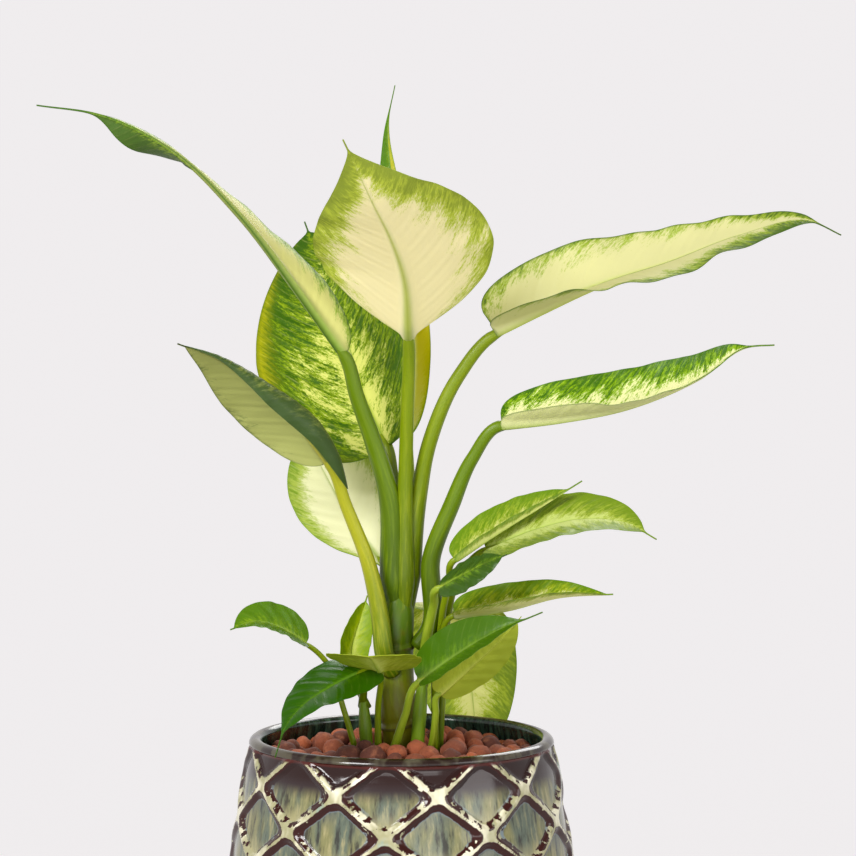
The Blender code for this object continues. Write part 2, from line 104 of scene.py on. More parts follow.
# Leaves. Points are in mm.
#   stalk: the petiole's route from the stem, less its last point, which the blade's base gives
#   girth: the petiole's radius at its foot, half-way and at the blade
#   rib:   the midrib's route from the blade's base to its tip
#   half:  greatest half width on the left and right of the rib, seen from above the leaf, or
#          half widths to scale the outline by at stations from base to tip
#   face:  which way the upper face looks, all along or at stations from base to tip
#   fold:  degrees that each half rises from flat at the rib, at stations from base to tip
#   curl:  further degrees that each half turns between the rib and its margin
LEAVES = {
    "long_left": dict(
        stalk=((-6, -4, CROWN), (-7, -9, 281), (-15, -13, 308), (-23, -18, 331)), girth=(2.6, 3.6, 2.6),
        rib=((-30, -22, 354), (-53, -32, 386), (-82, -42, 424), (-119, -50, 459), (-151, -54, 474), (-183,
        -56, 479)), half=(23, 21), widest=0.48, drip=0.16, face=((0.44, 0.7, 0.55), (0.05, 1, 0.15), (-0.05,
        1, 0.05), (-0.1, 0.9, -0.2)), fold=((25, 45, 64, 80, 66, 40), (60, 84, 88, 80, 15, 20)), curl=((60,
        40, 20), (15, 10, 10))),
    "front_top": dict(
        stalk=((2, -5.5, CROWN), (2, -9.5, 281), (3, -18, 318)), girth=(2.5, 3.2, 2.8), rib=((4, -36, 362),
        (2, -62, 393), (-5, -84, 414), (-12, -100, 428), (-27, -126, 460)), half=(47, 46), widest=0.37,
        drip=0.05, blunt=0.75, lobe=-0.2, face=((0, 0.78, 0.62), (0.05, 0.75, 0.65), (0.1, 0.8, 0.5)),
        fold=(14, 14), curl=(10, 10)),
    "back_mottled": dict(
        stalk=((-4, 5, CROWN), (-3.5, 7, 275), (-5, 9, 289)), girth=(2.2, 2.2, 2), rib=((-8, 12, 303), (-19,
        24, 326), (-31, 42, 363), (-42, 56, 392), (-53, 66, 421)), half=(50, 42), widest=0.42, drip=0.05,
        face=((-0.1, -1, 0.2), (-0.1, -1, 0.3), (-0.1, -0.9, 0.4)), fold=(8, 30), curl=(10, 20)),
    "left_rolled": dict(
        stalk=((-8, -14, 193), (-11, -14, 215), (-17, -14, 243), (-29, -17, 275)), girth=(3, 3.6, 2.8),
        rib=((-37, -22, 297), (-52, -30, 317), (-71, -42, 334), (-91, -58, 351), (-111, -76, 360)),
        half=((31, 30, 25, 14, 8), 24), widest=0.36, drip=0.04, lobe=(1.5, 0.1), face=((0.3, 0.75, 0.6),
        (0.2, 0.6, 0.75), (0.1, 0.6, 0.8)), fold=(34, 0), curl=((-175, -175, -165, -120), -30)),
    "back_tall": dict(
        stalk=((2, 5.5, CROWN), (4, 9.5, 280)), girth=(2.3, 2.3, 2.2), rib=((3, 26, 308), (3, 40, 347), (0,
        54, 390), (-7, 66, 443), (-8, 70, 474), (-4, 74, 495)), half=(16, 13), widest=0.3, drip=0.06,
        blunt=0.6, face=((0, -1, 0.2), (0, -1, 0.3), (0, -1, 0.2)), fold=(12, 12), curl=(15, 15)),
    "back_low": dict(
        stalk=((-9, 10.5, 214),), girth=(2.2, 2.2, 2), rib=((-9, 14, 239), (-27, 28, 262), (-41, 42, 285),
        (-56, 56, 313)), half=(24, 26), widest=0.56, drip=0.08, blunt=1.1, lobe=-0.3, face=(-0.1, -1, 0.3),
        fold=(8, 8), curl=(10, 10)),
    "right_upper": dict(
        stalk=((5, 0, CROWN), (9.5, -4, 281), (15, -8, 307), (30, -11, 341)), girth=(2.5, 3.6, 2.6),
        rib=((50, -14, 364), (72, -18, 375), (103, -22, 389), (137, -26, 400), (174, -30, 414), (210, -34,
        421), (225, -36, 414)), half=((28, 27, 25, 21, 18), (16, 20, 24, 22, 20)), widest=0.31, drip=0.08,
        blunt=0.28, lobe=0.3, face=((-0.2, -0.45, 0.85), (-0.15, -0.5, 0.85), (-0.1, -0.45, 0.85)),
        fold=((48, 30, 10, 8, 8), (60, 15, 0, -5)), curl=(15, (20, 10, 5))),
    "right_middle": dict(
        stalk=((13.5, -2, 205), (16, -6, 247), (26, -9, 273), (37, -12, 298)), girth=(3.4, 4, 2.7),
        rib=((53, -16, 316), (82, -20, 319), (118, -26, 326), (152, -32, 340), (178, -36, 357), (191, -38,
        358)), half=(24, 14), widest=0.36, drip=0.1, blunt=0.4, lobe=0.3, face=(-0.1, -0.45, 0.85),
        fold=(15, (50, 47, 27, 22, 28)), curl=(20, (30, 20, 0))),
    "right_lower": dict(
        stalk=((20, 6, BED), (22, 4, 180), (24, -4, 212), (30, -14, 236)), girth=(1.9, 1.9, 1.7), rib=((44,
        -24, 252), (70, -32, 263), (94, -42, 269), (117, -52, 267), (130, -56, 260)), half=(20, 23),
        widest=0.42, drip=0.08, face=(0, -0.5, 0.85), fold=(8, 8), curl=(10, 10)),
    "right_folded": dict(
        stalk=((17, 2, BED), (18, 1, 170), (20, -5, 200), (22, -12, 220), (25, -20, 235)), girth=(1.9, 1.9,
        1.7), rib=((28, -28, 247), (51, -30, 262), (74, -32, 276), (93, -34, 288)), half=(17, 4.5),
        widest=0.36, drip=0.12, blunt=0.45, face=(0, -0.4, 0.9), fold=(10, 60), curl=(10, 20)),
    "right_crumpled": dict(
        stalk=((11.5, -15, 186.5), (13, -19, 203), (17, -29, 224)), girth=(3, 2.5, 1.9), rib=((20, -40,
        234), (32, -46, 241), (45, -51, 248), (54, -53, 252)), half=(11, 12), widest=0.4, drip=0.06,
        small=True, face=(0, -0.2, 1), fold=(10, -20), curl=(30, -30)),
    "right_narrow": dict(
        stalk=((18, -4, BED), (17.5, -7, 170), (18, -13, 193), (21, -18, 208)), girth=(1.9, 1.8, 1.6),
        rib=((28, -22, 217), (55, -26, 221), (82, -32, 228), (109, -38, 230)), half=(15, 13), widest=0.31,
        drip=0.04, blunt=0.45, face=(0, -0.4, 0.9), fold=(20, 35), curl=(20, 20)),
    "front_dark": dict(
        stalk=((-5, -15, BED), (2, -24, 165)), girth=(2.4, 2, 1.7), rib=((10, -35, 185), (28, -43, 199),
        (48, -51, 212), (72, -57, 223)), half=(15, 13), widest=0.38, drip=0.16, small=True, face=(-0.2,
        -0.7, 0.6), fold=(20, 20), curl=(20, 20)),
    "front_olive": dict(
        stalk=((15, -10, BED), (17, -17, 155), (18, -22, 166)), girth=(2, 1.8, 1.6), rib=((20, -25, 177),
        (36, -26, 191), (51, -30, 205), (62, -35, 218)), half=(14, 18), widest=0.4, drip=0.06, small=True,
        face=(0.3, 0.5, 0.8), fold=(0, 0), curl=(-10, -20)),
    "back_drooping": dict(
        stalk=((8, 13, BED), (11, 16, 175), (15, 21, 205)), girth=(2.2, 2, 1.8), rib=((21, 26, 214), (26,
        50, 215), (32, 76, 201), (37, 92, 172), (40, 98, 144), (42, 99, 118)), half=(30, 27), widest=0.52,
        drip=0.06, face=((0, -0.2, 1), (0, 0.4, 0.9), (0, 0.9, 0.4), (0, 1, 0)), fold=(5, 5), curl=(-15,
        -15)),
    "left_small": dict(
        stalk=((-23, -14, BED), (-30, -16, 167), (-38, -19, 191)), girth=(1.7, 1.5, 1.4), rib=((-49, -26,
        203), (-62, -34, 212), (-75, -41, 216), (-87, -48, 213)), half=(11, 13), widest=0.42, drip=0.05,
        small=True, face=(-0.1, -0.5, 0.8), fold=(10, 25), curl=(10, 10)),
    "left_drooping": dict(
        stalk=((-20, -10, 173.2), (-19, -18, 183)), girth=(2.2, 1.8, 1.5), rib=((-18, -30, 190), (-36, -46,
        183), (-50, -60, 175), (-59, -72, 164), (-63, -78, 152)), half=(19, 18), widest=0.29, drip=0.16,
        blunt=0.42, face=((-0.3, -0.6, 0.7), (-0.5, -0.6, 0.6)), fold=(10, 10), curl=(-10, -10)),
    "front_pale": dict(
        stalk=((-12, -17, BED), (-12, -21, 168)), girth=(2, 1.6, 1.4), rib=((-11, -34, 190), (-14, -48,
        197), (-16, -62, 201)), half=(24, 25), widest=0.46, drip=0.05, small=True, face=(0, -0.1, 1),
        fold=(14, 4), curl=(-14, 2)),
    "left_erect": dict(
        stalk=((-21, -5, 173.2),), girth=(2.4, 1.9, 1.5), rib=((-25, -2, 181), (-26, 1, 196), (-22, 4, 211),
        (-18, 8, 224)), half=(9, 10), widest=0.45, drip=0.08, small=True, face=((0.2, -1, 0.1), (0.2, -1,
        0.2)), fold=(20, 20), curl=(30, 30)),
}

# How each leaf looks.
#   cream: how far from the rib the cream reaches on the left and right halves, at stations
#          from base to tip, as a share of the half width; one row serves both halves
#   tones: the dark green, the bright green and the cream
#   mottle: how raggedly green and cream meet
#   veins, wave: mm of relief along the side veins, and of waviness in the margin
LOOKS = {
    "long_left": dict(
        cream=((0.9, 0.78, 0.62, 0.3, 0, -0.4), (0.6, 0.5, 0.2, -0.4, -0.4)), rim=0.95, tones=("#3c6610",
        "#a3c22e", "#ece890"), mottle=0.5, veins=0.1, wave=1.6, under=0.2, midrib="#6f9c10", gloss=0.2),
    "front_top": dict(
        cream=((0.98, 0.9, 0.84, 0.72, 0.5, 0.1, -0.4), (0.98, 0.92, 0.84, 0.74, 0.5, 0.05, -0.4)),
        tones=("#9aa83c", "#c6d04c", "#f9efcc"), mottle=0.55, veins=0.08, wave=1.8, under=0,
        midrib="#a9b93c", glow=0.42, lines=0),
    "back_mottled": dict(
        cream=((0.5, 0.35, 0.3, 0.15, 0, -0.5), (0.35, 0.3, 0.2, 0.05, -0.2, -0.5)), tones=("#3a6600",
        "#93ae0a", "#e4e67c"), mottle=0.95, veins=0.5, wave=1, sun=(-1, 0.58, 1.15), sunlit="#cdc60a",
        lines=0.3, midrib="#a3bf1e"),
    "left_rolled": dict(
        cream=((0, 0.1, 0.2, 0), (1.2, 1.2, 1.1, 0.9)), tones=("#3f5826", "#7f8c40", "#b9bd68"), mottle=0.8,
        veins=0.12, midrib="#c4bc3c", lines=0, dull="#bcc080"),
    "back_tall": dict(
        cream=(0.9, 0.8, 0.3, -0.3, -0.4), tones=("#5c9014", "#8fb320", "#eef0b0"), mottle=0.3, veins=0.15,
        wave=0.5, sun=(1, 0.2, 0.5), sunlit="#ded000", glow=0.5),
    "back_low": dict(
        cream=((0.85, 0.85, 0.75, 0.5, 0), (0.95, 0.95, 0.9, 0.6, 0)), tones=("#7f9f2c", "#b3c454",
        "#f1f0c4"), mottle=0.35, lines=0.4),
    "right_upper": dict(
        cream=((0.75, 0.9, 0.95, 0.95, 0.85, 0.5, -0.3), (1.1, 1, 0.9, 0.75, 0.5, 0.1, -0.4)),
        tones=("#4d6e1e", "#a3b836", "#dfdba6"), veins=0.16, wave=2.8, rim=0.95, midrib="#b7c94a",
        under=0.4, dull="#d6d88a", glow=0.4),
    "right_middle": dict(
        cream=((0.7, 0.45, 0.4, 0.3, -0.1), (1.3, 1.3, 1.2, 0.8, 0.5)), tones=("#3b6a00", "#8db40a",
        "#f0efb6"), mottle=0.8, veins=0.22, wave=1.2, dull="#c3c877"),
    "right_lower": dict(
        cream=((0.3, 0.3, 0.2, 0), (0.35, 0.35, 0.3, 0)), tones=("#74901a", "#a3b43a", "#ccd87c"),
        veins=0.25),
    "right_folded": dict(
        cream=((0.3, 0.3, 0.2, 0), (0.5, 0.5, 0.4, 0.2)), tones=("#6c9010", "#9fb430", "#d9dc80"),
        wave=0.6),
    "right_crumpled": dict(
        cream=(-0.1, -0.2), tones=("#3a5c16", "#6f941c", "#acc050"), mottle=0.5, veins=0.3, wave=1,
        gloss=0.22),
    "right_narrow": dict(
        cream=((0.3, 0.35, 0.3, 0), (0.8, 0.8, 0.7, 0.3)), tones=("#6a9008", "#b2c02a", "#f6f4c0"),
        wave=0.6, glow=0.42, dull="#d2d28c"),
    "front_dark": dict(
        cream=(-0.2, -0.3, -0.3), tones=("#467004", "#6c9312", "#b9c85a"), mottle=0.4, veins=0.12, wave=0.6,
        gloss=0.18, lines=0.12, midrib="#9fbf4c"),
    "front_olive": dict(
        cream=(0, 0, -0.2), tones=("#9fad24", "#b4c034", "#d0d04c"), mottle=0.3, wave=0.6, dull="#c0ca4c",
        midrib="#d6d864"),
    "back_drooping": dict(
        cream=(0.8, 0.7, 0.6, 0.4, 0), tones=("#7c9c10", "#c6d43a", "#f8f6be"), glow=0.5),
    "left_small": dict(
        cream=(-0.1, -0.2, -0.2), tones=("#56800c", "#83a41c", "#c4cc62"), mottle=0.5, gloss=0.22),
    "left_drooping": dict(
        cream=(-0.2, -0.3, -0.3), tones=("#2c5e00", "#4d7c04", "#a8c04c"), mottle=0.35, veins=0.14,
        gloss=0.16, midrib="#7fae34"),
    "front_pale": dict(
        cream=(0.3, 0.2, 0), tones=("#a6b428", "#c4cc48", "#dde27a"), mottle=0.3, veins=0.15, wave=0.6,
        under=0, glow=0.35),
    "left_erect": dict(
        cream=(0.3, 0.2, 0), tones=("#8fae12", "#b0c400", "#d3dc60"), mottle=0.3, veins=0.15, wave=0.4,
        glow=0.35),
}

# What a leaf has unless its own entry says otherwise.
#   under, dull: how far the under face fades to this dull colour
#   glow, gloss: light that passes through, and roughness of the upper face
#   lines, rim: strength of the pale side veins and of the dark edge
#   sun: which half is sunlit yellow (-1 left, 1 right) and between which places across, if any
LEAF_USUAL = dict(dull="#9fa86a", under=0.5, midrib="#9cb53c", glow=0.28, gloss=0.3, lines=0.1, rim=0.6,
                  mottle=0.6, veins=0.2, wave=0.8, sunlit="#d6d800", sun=None)
# Petiole colours at the foot and above, with the streaks' colour, and the leaves that don't
# take the first.
STALK_TONES = [("#566a00", "#7a8e06", "#9aa41e"), ("#425a00", "#617c02", "#7c920c"),
               ("#5a7602", "#a8a81c", "#c2bc34"), ("#7a9014", "#8aa024", "#b0ba42")]
STALKS = {"long_left": 1, "right_middle": 1, "left_rolled": 2, "front_dark": 3, "front_olive": 3,
          "right_crumpled": 3}
# Petiole radii in mm from foot to blade, where they show thicker and clasp the stem.
CLASPING = {
    "long_left": (2.5, 6.8, 5.9, 5, 4.4, 3.8, 3.2), "front_top": (2.5, 5.6, 4.4, 3.6, 3.4, 3.2, 3),
    "right_upper": (2.5, 6.4, 5, 4, 3.8, 3.4, 3), "right_middle": (5.2, 5.2, 4.8, 4.4, 3.4, 3),
    "left_rolled": (5, 4.8, 4.2, 3.6, 3.2, 3), "back_mottled": (5, 3.6, 2.8), "back_tall": (5, 3.4, 2.6),
}


def tint(code):
    """Linear colour from a hex code."""
    parts = [int(code[i:i + 2], 16) / 255 for i in (1, 3, 5)]
    return [c / 12.92 if c <= 0.04045 else ((c + 0.055) / 1.055)**2.4 for c in parts]


class Look:
    """A material under construction, with short ways to add its nodes."""

    def __init__(self, name, roughness=0.5, shine=0.5):
        self.material = bpy.data.materials.new(name)
        self.material.use_nodes = True
        self.tree = self.material.node_tree
        self.shader = self.tree.nodes["Principled BSDF"]
        self.surface("Roughness", roughness)
        self.surface("Specular IOR Level", shine)

    def add(self, kind, settings=(), **values):
        made = self.tree.nodes.new("ShaderNode" + kind)
        for key, value in dict(settings).items():
            setattr(made, key, value)
        for key, value in values.items():
            self.put(made.inputs[key.replace("_", " ")], value)
        return made

    def put(self, socket, value):
        if isinstance(value, bpy.types.NodeSocket):
            self.tree.links.new(value, socket)
        elif isinstance(value, str):
            socket.default_value = (*tint(value), 1)
        else:
            socket.default_value = value

    def surface(self, key, value):
        self.put(self.shader.inputs[key], value)

    def read(self, *names):
        """The numbers stored under these names."""
        return [self.add("Attribute", {"attribute_name": name}).outputs["Fac"] for name in names]

    def flow(self):
        """The stored place along and across the growth, in cm."""
        return self.add("Attribute", {"attribute_name": "flow"}).outputs["Vector"]

    def place(self):
        """The place on the object, in metres."""
        return self.add("TexCoord").outputs["Object"]

    def feed(self, made, *values):
        """Fill a node's first inputs in turn and give its output."""
        for socket, value in zip(made.inputs, values):
            self.put(socket, value)
        return made.outputs[0]

    def math(self, operation, first, second):
        return self.feed(self.add("Math", {"operation": operation}), first, second)

    def times(self, first, second):
        return self.math("MULTIPLY", first, second)

    def plus(self, first, second):
        return self.math("ADD", first, second)

    def swing(self, cloud, size):
        """How far a cloud is from its middle value, scaled."""
        return self.times(self.math("SUBTRACT", cloud, 0.5), size)

    def step(self, value, low, high, most=1.0):
        """0 below low, the most above high, smooth between."""
        made = self.add("MapRange", {"interpolation_type": "SMOOTHSTEP"})
        return self.feed(made, value, low, high, 0, most)

    def mix(self, share, first, second):
        made = self.add("Mix", {"data_type": "RGBA"})
        self.put(made.inputs[0], share)
        self.put(made.inputs[6], first)
        self.put(made.inputs[7], second)
        return made.outputs[2]

    def coat(self, colour, second, value, low, high, most=1.0):
        """The colour, covered by a second one as the value goes from low to high."""
        return self.mix(self.step(value, low, high, most), colour, second)

    def stretch(self, vector, scale, shift=(0, 0, 0)):
        return self.add("Mapping", Vector=vector, Scale=scale, Location=shift).outputs[0]

    def cloud(self, vector, scale, detail, rough):
        made = self.add("TexNoise", Vector=vector, Scale=scale, Detail=detail, Roughness=rough)
        return made.outputs[0]

    def bump(self, height, strength, distance):
        made = self.add("Bump", Height=height, Strength=strength, Distance=distance)
        self.surface("Normal", made.outputs[0])

    def finish(self, colour, glow=0, through=None):
        """The material in this colour, which lets a share of the light through if it has a tint."""
        self.surface("Base Color", colour)
        if through:
            thin = self.add("BsdfTranslucent", Color=self.mix(0.3, colour, through))
            both = self.feed(self.add("MixShader"), glow, self.shader.outputs[0], thin.outputs[0])
            self.put(self.tree.nodes["Material Output"].inputs[0], both)
        return self.material


def spline(points, share):
    """Points on a smooth curve through the given points, at shares 0 to 1 of its chord length."""
    points = np.asarray(points, float)
    steps = np.linalg.norm(np.diff(points, axis=0), axis=1)
    knots = np.concatenate(([0], np.cumsum(steps))) / steps.sum()
    slopes = np.gradient(points, knots, axis=0)
    span = np.clip(np.searchsorted(knots, share, side="right") - 1, 0, len(points) - 2)
    width = (knots[span + 1] - knots[span])[:, None]
    u = (share - knots[span])[:, None] / width
    return ((2 * u**3 - 3 * u**2 + 1) * points[span] + (u**3 - 2 * u**2 + u) * width * slopes[span]
            + (3 * u**2 - 2 * u**3) * points[span + 1] + (u**3 - u**2) * width * slopes[span + 1])


def unit(vectors):
    return vectors / np.maximum(np.linalg.norm(vectors, axis=-1, keepdims=True), 1e-9)


def along(values, share):
    """A number, or numbers at even stations from base to tip, read at each share of the length."""
    values = np.atleast_1d(values).astype(float)
    return np.interp(share, np.linspace(0, 1, len(values)), values)


def smooth_step(value, low, high):
    u = np.clip((value - low) / (high - low), 0, 1)
    return u * u * (3 - 2 * u)


def ripple(place, seed, waves=(1, 1.7, 2.9)):
    """Seeded smooth wobble between -1 and 1."""
    phases = np.random.default_rng(seed).uniform(0, 2 * math.pi, len(waves))
    return sum(np.sin(2 * math.pi * place * wave + phase) for wave, phase in zip(waves, phases)) / len(waves)


def blade_width(share, widest, drip, blunt):
    """Half width from base to tip, as a share of the greatest: ovate, drawn out to a drip tip."""
    fine = np.linspace(0, 1, 601)
    u = np.clip(fine / (1 - drip), 0, 1)
    taper = blunt * (1 - widest) / widest
    ovate = u**blunt * (1 - u)**taper / (widest**blunt * (1 - widest)**taper)
    reach = int(600 * max(0.018, 0.4 * drip))
    kernel = np.hanning(2 * reach + 1)
    drawn = np.convolve(np.pad(ovate, reach, mode="edge"), kernel / kernel.sum(), mode="valid")
    blend = smooth_step(fine, 0.6, 0.75)
    ovate = np.interp(share, fine, ovate * (1 - blend) + drawn * blend)
    return ovate + DRIP_BASE * (1.2 - share)


def blade_frame(leaf, share):
    """The midrib's points in mm, with the directions forward and up at each."""
    centre = spline(leaf["rib"], share)
    forward = unit(np.gradient(centre, axis=0))
    face = np.atleast_2d(leaf["face"]).astype(float)
    up = np.stack([along(face[:, axis], share) for axis in range(3)], axis=1)
    return centre, forward, unit(up - (up * forward).sum(axis=1, keepdims=True) * forward)


def blade_surface(leaf, share, across):
    """Mid-surface points in mm at shares of the length and at -1 (left) to 1 (right) across,
    with the distance in mm of each from the midrib."""
    centre, forward, up = blade_frame(leaf, share)
    right = np.cross(forward, up)
    width = blade_width(share, leaf["widest"], leaf["drip"], leaf.get("blunt", 0.55))
    near_base = np.clip(1 - share / 0.45, 0, 1)**2
    columns, reaches = [], []
    for place in across:
        side = int(place > 0)
        reach = along(leaf["half"][side], share) * width
        start = np.radians(along(leaf["fold"][side], share))
        turn = np.radians(along(leaf["curl"][side], share))
        turn = np.where(np.abs(turn) < 0.01, 0.01, turn)
        end = start + turn * abs(place)
        out = np.sign(place) * reach * (np.sin(end) - np.sin(start)) / turn
        rise = reach * (np.cos(start) - np.cos(end)) / turn
        lobe = np.broadcast_to(leaf.get("lobe", 0.35), 2)[side]
        back = lobe * reach * place**2 * near_base
        columns.append(centre + right * out[:, None] + up * rise[:, None] - forward * back[:, None])
        reaches.append(reach * place)
    return np.stack(columns, axis=1), np.stack(reaches, axis=1)


def new_object(name, data, group):
    made = bpy.data.objects.new(name, data)
    group.objects.link(made)
    return made


def new_mesh(name, points, faces, material):
    mesh = bpy.data.meshes.new(name)
    mesh.from_pydata(points.tolist(), [], faces)
    mesh.polygons.foreach_set("use_smooth", [True] * len(mesh.polygons))
    mesh.materials.append(material)
    mesh.update()
    return mesh


def new_piece(name, vertices, faces, look):
    """A piece of the object from points in mm. It rides on the object's one body."""
    made = new_object(name, new_mesh(name, vertices * MM, faces, look), PLANT)
    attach(made, "root")
    return made


def store(made, name, values):
    """Keep a number or a vector for each vertex, for the material to read."""
    values = np.asarray(values, np.float32)
    kind = "FLOAT" if values.ndim == 1 else "FLOAT_VECTOR"
    layer = made.data.attributes.new(name, kind, "POINT")
    layer.data.foreach_set("value" if values.ndim == 1 else "vector", values.ravel())


def grid_faces(rows, columns, start=0, closed=False):
    """Quads of a grid of vertices, closed round if its last column joins its first."""
    row = start + np.arange(rows - 1)[:, None] * columns
    place = np.arange(columns if closed else columns - 1)
    corner, beside = row + place, row + (place + 1) % columns
    return np.stack([corner, beside, beside + columns, corner + columns], axis=-1).reshape(-1, 4).tolist()


def leaf_look(name, look):
    """Green margin and cream centre that meet in brushy flecks along the side veins."""
    made = Look(f"leaf_{name}", shine=LEAF_SHINE)
    deep, fresh, pale = look["tones"]
    flow = made.flow()
    green, under, edge, rib, sun = made.read("green", "under", "edge", "rib", "sun")
    shift = (look["seed"] * 3.1, look["seed"] * 1.7, 0)
    patch = made.cloud(made.stretch(flow, (0.9, 0.45, 0), shift), 1.2, 2, 0.5)
    brush = made.cloud(made.stretch(flow, (2.9, 1.1, 0), shift), 1.6, 4, 0.65)
    fleck = made.cloud(made.stretch(flow, (9, 4.6, 0), shift), 1.6, 3, 0.7)
    ragged = made.swing(brush, look["mottle"] * 1.7)
    speck = made.swing(fleck, look["mottle"] * 1.5)
    broad = made.swing(patch, look["mottle"] * 1.5)
    field = made.plus(made.plus(green, broad), made.plus(ragged, speck))
    field = made.math("SUBTRACT", field, 0.08)
    streaks = made.plus(brush, made.times(speck, 0.3))
    dark = made.coat(fresh, deep, streaks, 0.38, 0.62)
    dark = made.coat(dark, deep, field, 0.05, 0.6)
    colour = made.coat(pale, fresh, field, -0.3, 0)
    colour = made.coat(colour, dark, field, -0.04, 0.14)
    veins = made.add("TexWave", {"wave_type": "BANDS", "bands_direction": "X"},
                     Vector=flow, Scale=0.62, Distortion=1.2, Detail=2, Detail_Scale=0.8)
    line = made.times(made.step(veins.outputs["Fac"], 0.86, 1), made.step(brush, 0.4, 0.7))
    colour = made.mix(made.times(line, look["lines"]), colour, pale)
    lit = made.times(sun, made.step(made.plus(ragged, sun), 0.1, 0.8))
    colour = made.mix(lit, colour, look["sunlit"])
    dull = made.mix(0.55, colour, look["dull"])
    colour = made.mix(made.times(under, look["under"]), colour, dull)
    colour = made.mix(made.times(rib, 0.85), colour, look["midrib"])
    colour = made.mix(made.times(edge, look["rim"]), colour, deep)
    sheen = made.plus(made.times(under, 0.2), look["gloss"])
    made.surface("Roughness", made.plus(sheen, made.times(fleck, 0.14)))
    made.bump(made.plus(made.times(veins.outputs["Fac"], 0.6), fleck), 0.3, 0.0004)
    return made.finish(colour, look["glow"], "#d9e21c")


def rib_girth(parts, share):
    """Radius in mm of the midrib, which carries the petiole's on and thins out towards the tip."""
    return (parts["girth"][2] * 0.95 * (1 - share)**1.4 + 0.25)[:, None]


def leaf_sheets(parts, look, share, across):
    """The upper and lower sheets in mm, with each point's distance across from the midrib and
    the place along it that its side vein comes from."""
    middle, reach = blade_surface(parts, share, across)
    length = np.linalg.norm(np.diff(parts["rib"], axis=0), axis=1).sum()
    away = np.abs(across)[None, :]
    lateral = share[:, None] * length - 0.75 * np.abs(reach) * (0.7 + 0.5 * away)
    normal = unit(np.cross(np.gradient(middle, axis=1), np.gradient(middle, axis=0)))
    taper = np.sin(np.pi * np.clip(share * 1.05, 0, 1))[:, None]
    relief = look["veins"] * np.cos(2 * np.pi * lateral / VEIN_GAP) * 4 * away * (1 - away) * taper
    left, right = (ripple(share * 2.6, look["seed"] + offset)[:, None] for offset in (50, 0))
    relief = relief + look["wave"] * np.where(across > 0, right, left) * away**3 * taper
    middle = middle + normal * relief[..., None]
    thick = (0.32 - 0.2 * away**4)[..., None]
    girth = rib_girth(parts, share)
    ridge = np.exp(-(reach / girth)**2) * girth * 1.15 * smooth_step(share, -0.1, 0.02)[:, None]
    groove = np.exp(-(reach / (0.55 * girth))**2) * 0.35 * girth
    upper = middle + normal * (thick - groove[..., None])
    lower = middle - normal * (thick + ridge[..., None])
    return upper, lower, reach, lateral


def leaf_fields(parts, look, share, across, reach, lateral):
    """What the material reads on each sheet, point by point."""
    away = np.abs(across)[None, :]
    margin = np.abs(reach) / np.maximum(away, 0.01) * (1 - away)
    near_rib = np.exp(-(reach / (rib_girth(parts, share) * 0.75))**2)
    sun = np.zeros_like(reach)
    if look["sun"]:
        side, start, end = look["sun"]
        lit = smooth_step(across[None, :] * side, start, end)
        sun = lit * np.sin(np.pi * share**0.8)[:, None]**0.5
    return {"flow": np.stack([lateral / 10, reach / 10, np.zeros_like(reach)], axis=-1).reshape(-1, 3),
            "green": greenness(look, share, across).ravel(),
            "edge": np.exp(-(margin / 0.5)**2).ravel(),
            "rib": (near_rib * (0.2 + 0.8 * (1 - share)**1.5)[:, None]).ravel(),
            "sun": sun.ravel()}


def leaf(name, parts, look):
    """A blade: two sheets a little apart, joined round the margin, with veins and waves."""
    rows, columns = (80, 37) if parts.get("small") else (130, 53)
    share = np.linspace(0, 1, rows)**1.1
    spread = np.linspace(-1, 1, columns)
    across = np.sign(spread) * np.abs(spread)**1.35
    upper, lower, reach, lateral = leaf_sheets(parts, look, share, across)
    vertices = np.concatenate((upper.reshape(-1, 3), lower.reshape(-1, 3)))
    count = rows * columns
    bottom = [face[::-1] for face in grid_faces(rows, columns, count)]
    ring = margin_loop(rows, columns)
    rim = [(j, i, i + count, j + count) for i, j in zip(ring, ring[1:] + ring[:1])]
    faces = grid_faces(rows, columns) + bottom + rim
    made = new_piece(f"leaf_{name}", vertices, faces, leaf_look(name, look))
    for key, values in leaf_fields(parts, look, share, across, reach, lateral).items():
        store(made, key, np.concatenate((values, values)))
    store(made, "under", np.repeat((0.0, 1.0), count))
    mark_sharp(made, ring, count)
    lay_out(made, rows, columns, len(rim))
    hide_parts(f"blade_{name}")


def margin_loop(rows, columns):
    """Vertex numbers once round the edge of a grid."""
    grid = np.arange(rows * columns).reshape(rows, columns)
    return [*grid[0, :-1], *grid[:-1, -1], *grid[-1, :0:-1], *grid[:0:-1, 0]]


def greenness(look, share, across):
    """Below 0 where the blade is cream and above 0 where it is green, in half widths."""
    cream = look["cream"]
    left, right = (cream, cream) if np.ndim(cream[0]) == 0 else cream
    limits = np.where(across > 0, along(right, share)[:, None], along(left, share)[:, None])
    return np.abs(across)[None, :] - limits


def mark_sharp(made, ring, count):
    """The two edges of the thin rim stay crisp, so that the faces beside it shade evenly."""
    pairs = set()
    for i, j in zip(ring, ring[1:] + ring[:1]):
        pairs.add((min(i, j), max(i, j)))
        pairs.add((min(i, j) + count, max(i, j) + count))
    ends = np.empty(2 * len(made.data.edges), np.int32)
    made.data.edges.foreach_get("vertices", ends)
    sharp = [tuple(sorted(pair)) in pairs for pair in ends.reshape(-1, 2).tolist()]
    layer = made.data.attributes.new("sharp_edge", "BOOLEAN", "EDGE")
    layer.data.foreach_set("value", sharp)


